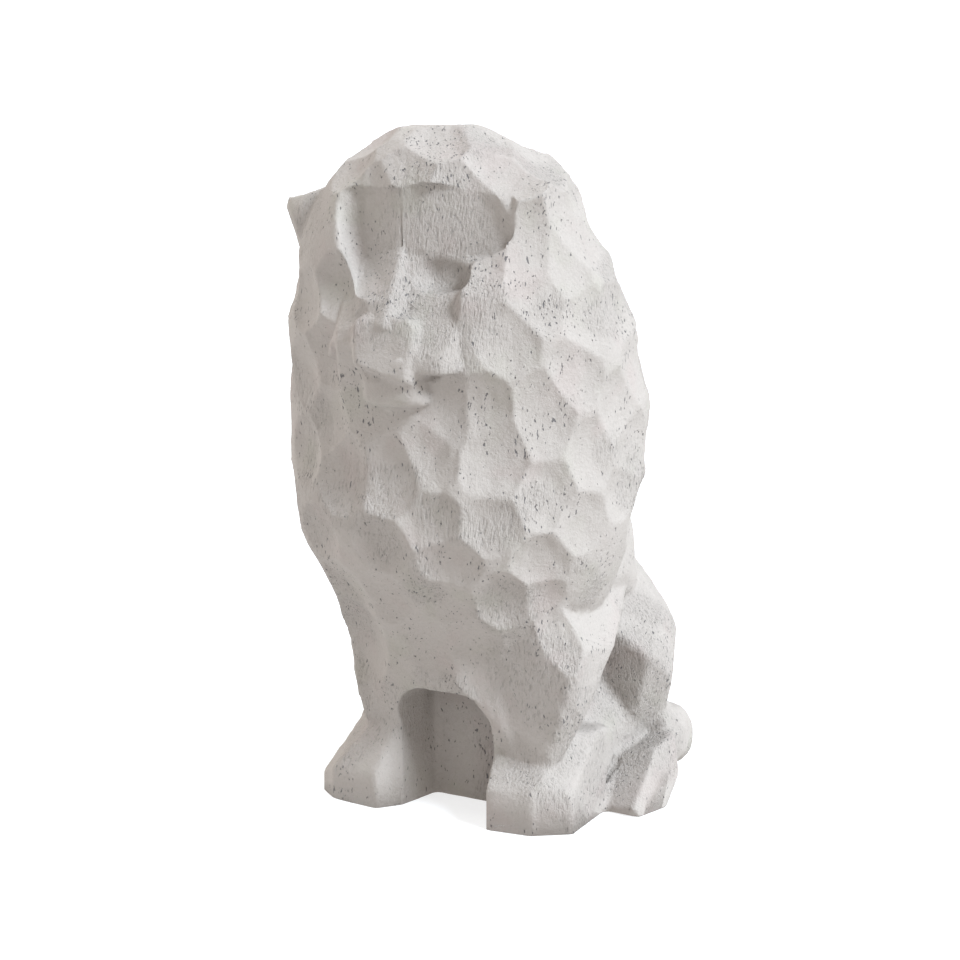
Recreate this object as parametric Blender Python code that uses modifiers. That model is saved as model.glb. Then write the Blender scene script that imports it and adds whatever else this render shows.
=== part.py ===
"""A seated lion sculpture, carved from one block of pale limestone.

The lion faces -Y and stands on Z = 0. It is one solid. Rounded and flat-cut
masses are fused into a body, the mane and face are then carved with rows of
round-nosed gouge strokes, and the underside is cut flat.
"""
import math

import bmesh
import bpy
import numpy as np
from mathutils.bvhtree import BVHTree

# Driving sizes, in metres
HEIGHT = 0.240
GOUGE_RADIUS = 0.033
GOUGE_DEPTH = 0.0031
FOREPAW_GAP = 0.032
SKIN_GRAIN = 0.0017
HOLLOW_GRAIN = 0.0010
FACE_GRAIN = 0.0014
FACES_WANTED = 9800

# A figure keeps its proportions: its measures are 240ths of its height
CROWN = 240.0
U = HEIGHT / CROWN
GAP_SIDE = 0.5 * FOREPAW_GAP / U

# The mane is an egg that leans forward to its crown and its beard
MANE_LEVEL = 140.0
MANE_HALVES = (66.0, 48.5)
MANE_RISE = 101.5
MANE_DROP = 93.0
MANE_POWER = 2.12
MANE_Y = -27.5
MANE_LEAN = 0.20
LEAN_FROM = 145.0
BEARD_LEVEL = 104.0
BEARD_FORWARD = 4.5
BEARD_REACH = 20.0

# The skin's direction at a stroke is its mean over this reach
SPOT_REACH = 9.0

STONE_COLOUR = (0.71, 0.68, 0.64, 1.0)


def unit(vector):
    """Returns the vector at length one."""
    vector = np.asarray(vector, dtype=float)
    return vector / np.linalg.norm(vector)


def sphere_template(subdivisions=5):
    """Gives an icosphere's unit points and its triangles."""
    ball = bmesh.new()
    bmesh.ops.create_icosphere(ball, subdivisions=subdivisions, radius=1.0)
    points = np.array([vertex.co for vertex in ball.verts])
    faces = [[vertex.index for vertex in face.verts] for face in ball.faces]
    ball.free()
    return points / np.linalg.norm(points, axis=1)[:, None], faces


def hewn(centre, halves, power=2.5, cuts=()):
    """Shapes the sphere into a rounded block with flat cuts.

    Along each ray from the centre the surface stands at the radius of a
    superellipsoid, or at the nearest cutting plane where that is closer.
    A cut is a normal and a point that its plane passes through. The third
    half may be a pair, for the heights above and below the centre.
    """
    rays, faces = sphere_template()
    centre = np.asarray(centre, dtype=float)
    above, below = halves[2] if isinstance(halves[2], tuple) else (halves[2], halves[2])
    tall = np.where(rays[:, 2] > 0.0, above, below)
    sides = np.stack([rays[:, 0] / halves[0], rays[:, 1] / halves[1], rays[:, 2] / tall])
    reach = (np.abs(sides) ** power).sum(axis=0) ** (-1.0 / power)
    for normal, point in cuts:
        normal = unit(normal)
        depth = float(normal @ (np.asarray(point, dtype=float) - centre))
        facing = rays @ normal
        plane = np.where(facing > 1e-6, depth / np.maximum(facing, 1e-6), np.inf)
        reach = np.minimum(reach, plane)
    return centre + rays * reach[:, None], faces


def mirrored(points, faces):
    """Turns a left-hand mass into its right-hand twin."""
    return points * (-1.0, 1.0, 1.0), [face[::-1] for face in faces]


def mane_axis(z):
    """Gives the mane's centre line, which leans forward to the crown and at the beard."""
    beard = BEARD_FORWARD * np.exp(-((z - BEARD_LEVEL) / BEARD_REACH) ** 2)
    return MANE_Y - MANE_LEAN * np.maximum(z - LEAN_FROM, 0.0) - beard


def mane_mass():
    """The great egg of the mane, with a small flat on the crown."""
    halves = (MANE_HALVES[0], MANE_HALVES[1], (MANE_RISE, MANE_DROP))
    crown = ((0.0, 0.0, 1.0), (0.0, 0.0, CROWN))
    points, faces = hewn((0.0, MANE_Y, MANE_LEVEL), halves, MANE_POWER, [crown])
    points[:, 1] += mane_axis(points[:, 2]) - MANE_Y
    return points, faces


def head_masses():
    """The two ears, low mounds on the sides of the head, and the fuller crown."""
    left = hewn((42.0, -52.0, 211.0), (8.0, 13.5, 14.0), 2.3)
    right = hewn((-46.5, -44.0, 208.0), (14.5, 14.0, 14.0), 2.3)
    crown = hewn((12.0, -35.5, 194.0), (36.5, 36.0, 42.5), 2.2)
    return [left, right, crown]


def face_masses():
    """The nose wedge, muzzle, chin and jowls, laid on the carved head."""
    tip = (1.8, -84.5, 176.0)
    nose = hewn(
        (-7.0, -60.0, 188.0), (26.0, 32.0, 26.0), 6.0,
        [((-0.30, -0.92, 0.488), tip),
         ((0.849, -0.529, 0.327), tip),
         ((-0.78, -0.55, 0.297), (-20.7, -67.1, 194.9)),
         ((0.0, -0.73, -0.68), tip)])
    muzzle = hewn(
        (0.0, -68.0, 167.0), (12.5, 17.0, 12.0), 6.0,
        [((0.05, -0.985, 0.14), (-1.0, -83.8, 168.0)),
         ((-0.25, -0.20, -0.95), (-1.0, -82.0, 159.5))])
    chin = hewn(
        (1.0, -66.0, 155.0), (12.5, 15.5, 6.5), 5.0,
        [((0.10, -0.99, 0.05), (0.0, -82.0, 155.0))])
    jowl_right = hewn(
        (-12.0, -60.0, 150.0), (18.0, 26.0, 22.0), 6.0,
        [((-0.14, -0.94, -0.30), (-8.2, -82.4, 169.4)),
         ((-0.864, -0.499, -0.068), (-19.7, -81.0, 171.8)),
         ((0.70, -0.70, -0.10), (0.0, -80.0, 165.0))])
    jowl_left = hewn(
        (13.0, -62.0, 168.0), (13.0, 24.0, (16.0, 8.0)), 6.0,
        [((0.10, -0.91, 0.40), (4.5, -75.0, 184.0)),
         ((0.15, -0.97, 0.0), (8.0, -83.0, 165.0)),
         ((0.75, -0.65, 0.0), (22.0, -80.0, 165.0))])
    return [nose, muzzle, chin, jowl_right, jowl_left]


def face_hollows():
    """The flat cuts of the forehead, the eye and the cheek, as cutters."""
    ridge = (0.5, -70.5, 208.0)
    brow_left = hewn(
        (18.0, -90.0, 209.0), (32.0, 34.0, 12.5), 8.0,
        [((-0.225, 0.974, 0.0), ridge),
         ((0.133, 0.975, 0.178), (31.0, -63.5, 210.0)),
         ((-1.0, 0.0, 0.0), ridge),
         ((0.842, 0.0, -0.539), (42.4, -65.0, 210.0)),
         ((0.447, 0.0, -0.894), (26.0, -65.0, 195.5))])
    brow_right = hewn(
        (-10.0, -95.0, 202.5), (18.0, 40.0, 18.5), 5.0,
        [((0.17, 0.985, 0.0), ridge),
         ((-0.60, 0.80, 0.0), (-20.0, -67.2, 205.0)),
         ((-0.95, 0.0, -0.30), (-18.5, -70.0, 195.0)),
         ((1.0, 0.0, 0.0), ridge)])
    cheek_left = hewn(
        (13.5, -95.0, 180.0), (11.8, 30.0, 22.0), 6.0,
        [((-0.10, 0.91, -0.40), (4.5, -75.0, 184.0)),
         ((0.45, 0.88, -0.10), (25.5, -75.0, 184.0))])
    eye = hewn((16.0, -76.0, 192.5), (11.5, 10.5, 6.5), 2.6)
    mouth_corner = hewn((15.5, -83.0, 160.0), (5.0, 9.0, 5.5), 2.2)
    return [brow_left, brow_right, cheek_left, eye, mouth_corner]


def body_masses():
    """The chest, trunk and rump that carry the mane."""
    chest = hewn(
        (0.0, -24.0, 72.0), (42.0, 34.0, 48.0), 4.0,
        [((0.0, -0.955, -0.295), (0.0, -55.5, 66.0)),
         ((0.45, -0.89, -0.05), (14.0, -53.0, 62.0)),
         ((-0.45, -0.89, -0.05), (-18.0, -53.0, 62.0))])
    trunk = hewn(
        (0.0, -6.0, 60.0), (50.0, 44.0, 112.0), 2.3,
        [((0.0, -1.0, 0.0), (0.0, -28.0, 0.0)),
         ((0.93, 0.0, -0.37), (47.0, -2.0, 77.0)),
         ((-0.93, 0.0, -0.37), (-47.0, -2.0, 77.0))])
    rump = hewn((0.0, 24.0, 36.0), (45.0, 30.0, 54.0), 2.5)
    return [chest, trunk, rump]


def gap_mass(side):
    """The arched hollow between the forelegs, a side to each half."""
    return hewn(
        (2.0, -42.0, 0.0), (side + 7.0, 42.0, 46.0), 4.0,
        [((0.0, 1.0, 0.0), (0.0, -25.0, 0.0)),
         ((-0.985, 0.17, 0.0), (1.0 - side, -26.0, 0.0)),
         ((0.97, 0.23, 0.0), (side - 1.0, -26.0, 0.0)),
         ((0.75, 0.0, 0.66), (side + 2.5, -45.0, 39.0))])


def left_foreleg():
    """The left shoulder and foreleg in flat cuts, and its paw."""
    leg = hewn(
        (30.0, -24.0, 55.0), (36.0, 34.0, 74.0), 4.0,
        [((0.0, -0.986, -0.169), (35.0, -50.0, 66.0)),
         ((-0.42, -0.88, -0.188), (25.2, -43.5, 28.0)),
         ((0.80, -0.56, -0.392), (44.0, -44.5, 34.0)),
         ((0.98, -0.05, -0.15), (50.5, -30.0, 32.0)),
         ((0.88, 0.0, 0.47), (56.0, -25.0, 64.0)),
         ((0.78, 0.50, -0.45), (54.0, -20.0, 63.0))])
    paw = hewn(
        (33.0, -28.0, 8.0), (22.0, 26.0, 24.0), 4.5,
        [((0.12, -0.99, 0.0), (28.8, -50.8, 5.0)),
         ((-0.60, -0.80, 0.0), (19.5, -50.0, 5.0)),
         ((0.62, -0.78, 0.0), (41.5, -46.5, 5.0)),
         ((0.99, 0.05, 0.0), (48.5, -30.0, 5.0)),
         ((0.05, -0.74, 0.67), (30.0, -50.8, 14.5)),
         ((0.66, -0.50, 0.56), (44.5, -46.0, 14.0))])
    return [leg, paw]


def right_foreleg():
    """The slimmer right shoulder and foreleg, its paw turned outwards."""
    leg = hewn(
        (-28.0, -24.0, 55.0), (32.0, 34.0, 74.0), 4.0,
        [((0.0, -0.986, -0.169), (-35.0, -50.0, 66.0)),
         ((-0.75, -0.60, -0.28), (-36.5, -45.0, 33.0)),
         ((-0.97, -0.10, -0.20), (-42.5, -30.0, 67.0)),
         ((-0.80, 0.58, -0.16), (-41.5, -22.0, 60.0))])
    paw = hewn(
        (-34.0, -28.0, 8.0), (26.0, 26.0, 22.0), 4.0,
        [((-0.10, -0.99, 0.0), (-32.0, -51.0, 5.0)),
         ((0.80, -0.60, 0.0), (-20.3, -46.6, 5.0)),
         ((-0.62, -0.78, 0.0), (-48.0, -46.5, 5.0)),
         ((-0.98, 0.20, 0.0), (-52.5, -40.0, 5.0)),
         ((-0.10, -0.90, 0.42), (-32.0, -51.0, 13.0)),
         ((-0.66, -0.40, 0.64), (-47.2, -43.0, 12.3))])
    return [leg, paw]


def hind_leg():
    """A left haunch, shin and hind foot in flat cuts."""
    haunch = hewn(
        (33.0, 22.0, 47.0), (33.0, 34.0, 38.0), 2.6,
        [((0.10, -0.96, -0.26), (50.0, -1.5, 56.0)),
         ((0.61, -0.51, 0.60), (46.8, -3.8, 63.1)),
         ((0.99, 0.02, 0.14), (60.0, -2.8, 52.0)),
         ((0.858, 0.496, -0.13), (58.0, 18.5, 40.0)),
         ((0.724, 0.418, 0.548), (50.0, 25.0, 70.0)),
         ((0.50, -0.10, 0.86), (46.0, 6.0, 80.5)),
         ((0.80, -0.46, -0.37), (58.0, -0.3, 54.7))])
    shin = hewn(
        (30.0, 0.0, 12.0), (26.0, 26.0, 48.0), 3.0,
        [((0.81, -0.43, 0.39), (38.1, 0.2, 45.3)),
         ((0.93, -0.36, 0.0), (42.0, -12.0, 12.0))])
    foot = hewn(
        (52.0, 4.0, 7.0), (14.0, 26.0, 18.0), 4.0,
        [((-0.10, -0.78, 0.62), (61.1, -9.5, 10.5)),
         ((0.0, -0.80, -0.60), (58.0, -16.0, 3.5)),
         ((0.97, -0.20, 0.12), (61.5, -10.0, 6.0)),
         ((0.866, 0.50, 0.10), (62.5, 16.5, 8.0)),
         ((0.78, 0.45, -0.44), (62.0, 8.0, 0.5)),
         ((-0.25, -0.20, 0.95), (56.0, -2.0, 20.0))])
    return [haunch, shin, foot]


def groove_masses():
    """The furrow between the shin and the left hind foot, as cutters."""
    path = np.array([(43.0, -17.0, -1.0), (45.5, -11.0, 10.0), (48.5, -2.5, 18.0)])
    masses = []
    for start, end in zip(path[:-1], path[1:]):
        for share in (0.0, 0.2, 0.4, 0.6, 0.8):
            masses.append(hewn(start * (1.0 - share) + end * share, (2.0, 2.0, 2.0), 2.0))
    return masses


def tail_masses():
    """The tail, a thick cord of beads that lies round the left foot."""
    path = ((0.0, 52.0, 12.0), (18.0, 54.0, 11.0), (35.0, 50.0, 12.0), (46.0, 41.0, 13.5),
            (53.0, 31.0, 17.5))
    masses = []
    for start, end in zip(path[:-1], path[1:]):
        for share in (0.0, 0.34, 0.67):
            spot = np.array(start) * (1.0 - share) + np.array(end) * share
            masses.append(hewn(spot, (8.5, 8.5, 10.5), 2.3))
    masses.append(hewn(
        (54.0, 22.5, 20.5), (8.5, 9.5, 11.0), 2.8,
        [((0.85, -0.30, 0.45), (61.0, 21.0, 26.0)),
         ((0.50, -0.70, -0.50), (60.0, 12.0, 19.0))]))
    return masses


def as_object(name, points, faces):
    """Makes one mesh object from points in 240ths of the height."""
    mesh = bpy.data.meshes.new(name)
    mesh.from_pydata((np.asarray(points) * U).tolist(), [], faces)
    mesh.update()
    made = bpy.data.objects.new(name, mesh)
    bpy.context.scene.collection.objects.link(made)
    return made


def settled(made):
    """Puts an object's modifiers into its mesh."""
    graph = bpy.context.evaluated_depsgraph_get()
    mesh = bpy.data.meshes.new_from_object(made.evaluated_get(graph))
    made.modifiers.clear()
    made.data = mesh
    return made


def fused(name, masses, grain):
    """Fuses overlapping masses into one skin of even grain."""
    points = []
    faces = []
    for mass_points, mass_faces in masses:
        start = len(points)
        points.extend(mass_points.tolist())
        faces.extend([[index + start for index in face] for face in mass_faces])
    body = as_object(name, points, faces)
    remesh = body.modifiers.new("fuse", "REMESH")
    remesh.mode = "VOXEL"
    remesh.voxel_size = grain
    return settled(body)


def combined(body, other, operation, grain):
    """Joins another object to the body, or cuts it away, and evens the skin."""
    boolean = body.modifiers.new("combine", "BOOLEAN")
    boolean.operation = operation
    boolean.object = other
    remesh = body.modifiers.new("even", "REMESH")
    remesh.mode = "VOXEL"
    remesh.voxel_size = grain
    settled(body)
    bpy.data.objects.remove(other)
    return body


def skin_arrays(body):
    """Gives the skin's points, in 240ths of the height, and its normals."""
    mesh = body.data
    points = np.empty(len(mesh.vertices) * 3)
    normals = np.empty(len(mesh.vertices) * 3)
    mesh.vertices.foreach_get("co", points)
    mesh.vertices.foreach_get("normal", normals)
    return points.reshape(-1, 3) / U, normals.reshape(-1, 3)


def skin_spot(tree, points, normals, bearing, z):
    """Finds where a level ray towards the mane's axis meets the skin.

    The bearing is in degrees from straight ahead towards the lion's left.
    Returns the point, and the mean outward direction of the skin round it.
    """
    turn = math.radians(bearing)
    outward = np.array([math.sin(turn), -math.cos(turn), 0.0])
    axis = np.array([0.0, mane_axis(z), z])
    spot = np.array(tree.ray_cast((axis + 200.0 * outward).tolist(), (-outward).tolist())[0])
    near = ((points - spot) ** 2).sum(axis=1) < SPOT_REACH ** 2
    return spot, unit(normals[near].mean(axis=0))


# Gouge strokes on the mane: a height, then bearings, in rows from the crown
MANE_ROWS = (
    (235.0, (30, 76, 125, 180, 235, 300)),
    (227.0, (3, 61, 93, 130, 165, 200, 238, 275, 314)),
    (223.0, (40, 341)),
    (211.0, (78, 108, 140, 172, 205, 238, 268)),
    (200.0, (62, 92, 122, 155, 187, 220, 252, 285)),
    (194.0, (45, 72)),
    (186.0, (60, 107, 137, 170, 203, 236, 268, 294)),
    (182.0, (313,)),
    (178.0, (75, 90)),
    (172.0, (47, 122, 153, 185, 217, 250, 282)),
    (161.0, (67, 93, 107, 138, 169, 200, 232, 264, 292)),
    (157.0, (314,)),
    (148.0, (22, 36, 55, 82, 122, 152, 182, 213, 245, 277)),
    (142.0, (326,)),
    (134.0, (39, 16, 71, 88, 105, 137, 167, 197, 228, 260, 288)),
    (130.0, (313,)),
    (124.0, (335, 359)),
    (121.0, (57, 86, 121, 152, 183, 214, 245, 276)),
    (111.0, (40, 18, 71, 104, 138, 168, 199, 230, 262, 292)),
    (102.0, (317, 353)),
    (98.0, (59, 25)),
    (84.0, (46, 290)),
    (81.0, (320, 347, 21)),
    (80.0, (62,)),
    (67.0, (3, 30)),
    (64.0, (305,)),
)

# Larger strokes of the ears and cheeks: a bearing and height, the
# tool's radius and its depth
FACE_STROKES = (
    (-30.0, 186.0, 20.0, 4.5),
    (-33.0, 163.0, 34.0, 3.5),
)


def strokes(body):
    """Lists every ball that bites the block: centre, radius and way out."""
    points, normals = skin_arrays(body)
    faces = [list(face.vertices) for face in body.data.polygons]
    tree = BVHTree.FromPolygons(points.tolist(), faces)
    marks = []
    for row, (z, bearings) in enumerate(MANE_ROWS):
        for column, bearing in enumerate(bearings):
            radius = GOUGE_RADIUS / U * (1.0 + 0.12 * math.sin(2.4 * row + 1.7 * column))
            depth = GOUGE_DEPTH / U * (1.0 + 0.10 * math.cos(3.1 * row + 2.3 * column))
            marks.append((bearing, z, radius, depth))
    balls = []
    for bearing, z, radius, depth in marks + list(FACE_STROKES):
        spot, outward = skin_spot(tree, points, normals, bearing, z)
        balls.append((spot + outward * (radius - depth), radius, outward))
    return balls


def carved(body):
    """Presses every stroke into the skin.

    A skin point inside a stroke's ball moves straight back along the
    stroke until it lies on the ball: by q.n + sqrt((q.n)^2 + r^2 - q.q),
    with q from the ball's centre to the point and n the stroke's way out.
    Where two strokes meet, their meeting line is left as a ridge.
    """
    points = skin_arrays(body)[0]
    for centre, radius, outward in strokes(body):
        away = points - centre
        along = away @ outward
        inside = radius ** 2 - (away ** 2).sum(axis=1)
        bite = np.where(inside > 0.0, along + np.sqrt(along ** 2 + np.maximum(inside, 0.0)), 0.0)
        points -= outward * bite[:, None]
    body.data.vertices.foreach_set("co", (points * U).ravel())
    body.data.update()
    return body


def thinned(body, wanted):
    """Takes the skin down to the number of triangles wanted."""
    triangles = 2 * len(body.data.polygons)
    decimate = body.modifiers.new("thin", "DECIMATE")
    decimate.ratio = min(1.0, wanted / triangles)
    decimate.use_collapse_triangulate = True
    return settled(body)


def cut_flat(body):
    """Saws the underside off at Z = 0 and closes it."""
    skin = bmesh.new()
    skin.from_mesh(body.data)
    everything = skin.verts[:] + skin.edges[:] + skin.faces[:]
    cut = bmesh.ops.bisect_plane(
        skin, geom=everything, dist=1e-6, plane_co=(0.0, 0.0, 0.0),
        plane_no=(0.0, 0.0, 1.0), clear_inner=True)
    rim = [item for item in cut["geom_cut"] if isinstance(item, bmesh.types.BMEdge)]
    bmesh.ops.triangle_fill(skin, edges=rim, use_dissolve=False, normal=(0.0, 0.0, -1.0))
    bmesh.ops.recalc_face_normals(skin, faces=skin.faces[:])
    skin.to_mesh(body.data)
    skin.free()
    return body


def stone():
    """A plain pale limestone."""
    material = bpy.data.materials.new("limestone")
    material.use_nodes = True
    shader = material.node_tree.nodes["Principled BSDF"]
    shader.inputs["Base Color"].default_value = STONE_COLOUR
    shader.inputs["Roughness"].default_value = 0.92
    shader.inputs["Metallic"].default_value = 0.0
    return material


def main():
    for old in list(bpy.data.objects):
        bpy.data.objects.remove(old)
    masses = [mane_mass()] + head_masses() + body_masses() + tail_masses()
    masses += left_foreleg() + right_foreleg()
    masses += hind_leg() + [mirrored(*limb) for limb in hind_leg()]
    lion = fused("lion", masses, SKIN_GRAIN)
    hollows = [gap_mass(GAP_SIDE)] + face_hollows() + groove_masses()
    combined(lion, fused("hollows", hollows, HOLLOW_GRAIN), "DIFFERENCE", SKIN_GRAIN)
    carved(lion)
    combined(lion, fused("face", face_masses(), SKIN_GRAIN), "UNION", FACE_GRAIN)
    thinned(lion, FACES_WANTED)
    cut_flat(lion)
    lion.data.materials.append(stone())
    collection = bpy.data.collections.new("Lion sculpture")
    bpy.context.scene.collection.children.link(collection)
    collection.objects.link(lion)
    bpy.context.scene.collection.objects.unlink(lion)


main()
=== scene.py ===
"""A seated lion carved from pale limestone, on a plain studio floor."""

import math

import bmesh
import bpy
import numpy as np
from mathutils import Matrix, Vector
from mathutils.bvhtree import BVHTree


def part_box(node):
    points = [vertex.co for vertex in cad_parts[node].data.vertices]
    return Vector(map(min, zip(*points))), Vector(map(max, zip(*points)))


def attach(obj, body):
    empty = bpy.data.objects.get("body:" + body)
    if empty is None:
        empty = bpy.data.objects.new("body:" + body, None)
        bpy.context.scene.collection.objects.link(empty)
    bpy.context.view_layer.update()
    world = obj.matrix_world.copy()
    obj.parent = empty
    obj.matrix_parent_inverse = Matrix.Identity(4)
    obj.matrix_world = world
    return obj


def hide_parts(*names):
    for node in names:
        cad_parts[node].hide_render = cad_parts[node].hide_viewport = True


bl_info = {
    "name": "Limestone Lion",
    "version": (1, 0, 0),
    "blender": (4, 5, 0),
    "location": "View3D > Sidebar > Lion",
    "description": "Carves a seated lion from a block of limestone and sets it on a studio floor",
    "category": "Add Mesh",
}

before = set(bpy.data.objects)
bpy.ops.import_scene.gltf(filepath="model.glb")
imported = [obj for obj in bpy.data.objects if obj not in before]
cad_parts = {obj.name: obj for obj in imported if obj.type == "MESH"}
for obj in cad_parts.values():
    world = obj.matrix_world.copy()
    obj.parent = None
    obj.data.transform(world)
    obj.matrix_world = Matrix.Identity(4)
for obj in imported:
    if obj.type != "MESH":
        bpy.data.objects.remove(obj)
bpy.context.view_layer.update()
LION_LOW, LION_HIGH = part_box("lion")
HEIGHT = LION_HIGH.z - LION_LOW.z

# A figure keeps its proportions: its measures are 240ths of its height
CROWN = 240.0
U = HEIGHT / CROWN

# The mane is an egg that leans forward to its crown and its beard
MANE_LEVEL = 140.0
MANE_HALVES = (66.0, 48.5)
MANE_RISE = 101.5
MANE_DROP = 93.0
MANE_POWER = 2.12
MANE_Y = -27.5
MANE_LEAN = 0.20
LEAN_FROM = 145.0
BEARD_LEVEL = 104.0
BEARD_FORWARD = 4.5
BEARD_REACH = 20.0

# The skin's direction at a stroke is its mean over this reach, and the ray
# that finds the stroke's place starts this far from the mane's axis
SPOT_REACH = 9.0
RAY_START = 200.0

# Lengths and slopes under this count as none
TINY = 1e-6
WHITE = (1.0, 1.0, 1.0)


class FigureSettings(bpy.types.PropertyGroup):
    """The tools and sizes that the lion is carved with."""

    gouge_radius: bpy.props.FloatProperty(
        name="Gouge radius", description="Radius of the round-nosed tool that cuts the mane",
        default=0.033, min=0.02, max=0.06, subtype="DISTANCE", unit="LENGTH")
    gouge_depth: bpy.props.FloatProperty(
        name="Gouge depth", description="How deep each stroke of the mane goes",
        default=0.0031, min=0.0005, max=0.006, subtype="DISTANCE", unit="LENGTH")
    forepaw_gap: bpy.props.FloatProperty(
        name="Foreleg gap", description="Width of the arch between the forelegs",
        default=0.032, min=0.02, max=0.036, subtype="DISTANCE", unit="LENGTH")
    grain: bpy.props.FloatProperty(
        name="Skin grain", description="Size of the quads that the stone's skin is made of",
        default=0.0010, min=0.0008, max=0.004, subtype="DISTANCE", unit="LENGTH")
    triangles: bpy.props.IntProperty(
        name="Triangles", description="How many triangles the skin has before its underside is sawn off",
        default=185000, min=20000, max=195000)
    dressing: bpy.props.FloatProperty(
        name="Dressing", description="Height of the uneven dressing that the tools leave on the skin",
        default=0.00024, min=0.0, max=0.002, subtype="DISTANCE", unit="LENGTH")


class StoneSettings(bpy.types.PropertyGroup):
    """The look of the limestone."""

    stone: bpy.props.FloatVectorProperty(
        name="Stone", description="Main colour of the limestone", subtype="COLOR", size=3,
        default=(0.305, 0.271, 0.243), min=0.0, max=1.0)
    rosy: bpy.props.FloatVectorProperty(
        name="Rosy cloud", description="Colour of the faint rosy clouds in the stone", subtype="COLOR",
        size=3, default=(0.306, 0.264, 0.238), min=0.0, max=1.0)
    green: bpy.props.FloatVectorProperty(
        name="Grey-green cloud", description="Colour of the faint grey-green clouds in the stone",
        subtype="COLOR", size=3, default=(0.294, 0.266, 0.232), min=0.0, max=1.0)
    # Painted shade: the dark colour laid into the pits stands for the shade that falls in them
    painted_pit_shade: bpy.props.FloatVectorProperty(
        name="Pit", description="Colour at the bottom of the pits", subtype="COLOR", size=3,
        default=(0.085, 0.078, 0.078), min=0.0, max=1.0)
    pit_depth: bpy.props.FloatProperty(
        name="Pit depth", description="Depth of the pits", default=0.0005, min=0.0, max=0.003,
        subtype="DISTANCE", unit="LENGTH")
    grain_height: bpy.props.FloatProperty(
        name="Grain height", description="Height of the drawn-out grain that the tools leave",
        default=0.0009, min=0.0, max=0.002, subtype="DISTANCE", unit="LENGTH")


class StudioSettings(bpy.types.PropertyGroup):
    """The floor and lights that the lion is shown in."""

    floor: bpy.props.FloatVectorProperty(
        name="Floor", description="Colour of the floor", subtype="COLOR", size=3,
        default=(0.36, 0.36, 0.36), min=0.0, max=1.0)
    glow: bpy.props.FloatProperty(
        name="Table glow", description="Light that the white table gives from within", default=0.71,
        min=0.0)
    key: bpy.props.FloatProperty(
        name="Key light", description="Strength of the soft light on the lion's left side",
        default=7.7, min=0.0)
    key_colour: bpy.props.FloatVectorProperty(
        name="Key colour", description="Colour of the key light", subtype="COLOR", size=3,
        default=(0.773, 0.885, 1.0), min=0.0, max=1.0)
    bearing: bpy.props.FloatProperty(
        name="Key bearing", description="Turn of the key light from straight ahead of the lion",
        default=math.radians(82.0), subtype="ANGLE", unit="ROTATION")
    rise: bpy.props.FloatProperty(
        name="Key rise", description="Height of the key light over the floor's level",
        default=math.radians(40.0), subtype="ANGLE", unit="ROTATION")
    spread: bpy.props.FloatProperty(
        name="Key spread", description="Angle that the key light seems to fill, which softens its shadows",
        default=math.radians(20.0), subtype="ANGLE", unit="ROTATION")
    fill: bpy.props.FloatProperty(
        name="Fill light", description="Strength of the weak soft light on the lion's right side",
        default=2.3, min=0.0)
    sky: bpy.props.FloatProperty(
        name="Surround", description="Strength of the white surround", default=0.86, min=0.0)


def unit(vector):
    """Returns the vector at length one."""
    vector = np.asarray(vector, dtype=float)
    return vector / np.linalg.norm(vector)


def sphere_grid(turns=96, rises=48):
    """Gives unit rays on a grid of turn and rise, and the quads between them.

    Formula: a ray is (cos t sin r, sin t sin r, cos r), with the turn t
    going once round and the rise r from 0 at the top to pi at the bottom.
    The two poles are one point each.
    """
    turn = np.arange(turns) * (2.0 * math.pi / turns)
    rise = np.arange(1, rises) * (math.pi / rises)
    turn_grid, rise_grid = np.meshgrid(turn, rise)
    rays = np.stack([np.cos(turn_grid) * np.sin(rise_grid), np.sin(turn_grid) * np.sin(rise_grid),
                     np.cos(rise_grid)], axis=-1).reshape(-1, 3)
    rays = np.concatenate([rays, [[0.0, 0.0, 1.0], [0.0, 0.0, -1.0]]])
    row, column = np.meshgrid(np.arange(rises - 2), np.arange(turns), indexing="ij")
    here = row * turns + column
    beside = row * turns + (column + 1) % turns
    quads = np.stack([here, here + turns, beside + turns, beside], axis=-1).reshape(-1, 4)
    ring = np.arange(turns)
    after = (ring + 1) % turns
    last = (rises - 2) * turns
    top = np.full(turns, len(rays) - 2)
    bottom = np.full(turns, len(rays) - 1)
    caps = np.concatenate([np.stack([ring, after, top], axis=-1),
                           np.stack([after + last, ring + last, bottom], axis=-1)])
    return rays, quads.tolist() + caps.tolist()


RAYS, RAY_FACES = sphere_grid()


def hewn(centre, halves, power=2.5, cuts=()):
    """Shapes a grid of rays into a rounded block with flat cuts.

    Formula: along each ray d from the centre the surface stands at
    (|dx/a|^p + |dy/b|^p + |dz/c|^p)^(-1/p), the radius of a superellipsoid
    with halves a, b, c and power p, or at h / (n.d) where a plane with
    normal n at height h over the centre is closer. The third half may be a
    pair, for the heights above and below the centre.
    """
    centre = np.asarray(centre, dtype=float)
    above, below = halves[2] if isinstance(halves[2], tuple) else (halves[2], halves[2])
    tall = np.where(RAYS[:, 2] > 0.0, above, below)
    sides = np.stack([RAYS[:, 0] / halves[0], RAYS[:, 1] / halves[1], RAYS[:, 2] / tall])
    reach = (np.abs(sides) ** power).sum(axis=0) ** (-1.0 / power)
    for normal, point in cuts:
        normal = unit(normal)
        height = float(normal @ (np.asarray(point, dtype=float) - centre))
        facing = RAYS @ normal
        plane = np.where(facing > TINY, height / np.maximum(facing, TINY), np.inf)
        reach = np.minimum(reach, plane)
    return centre + RAYS * reach[:, None], RAY_FACES


def mirrored(points, faces):
    """Turns a left-hand mass into its right-hand twin."""
    return points * (-1.0, 1.0, 1.0), [face[::-1] for face in faces]


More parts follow.
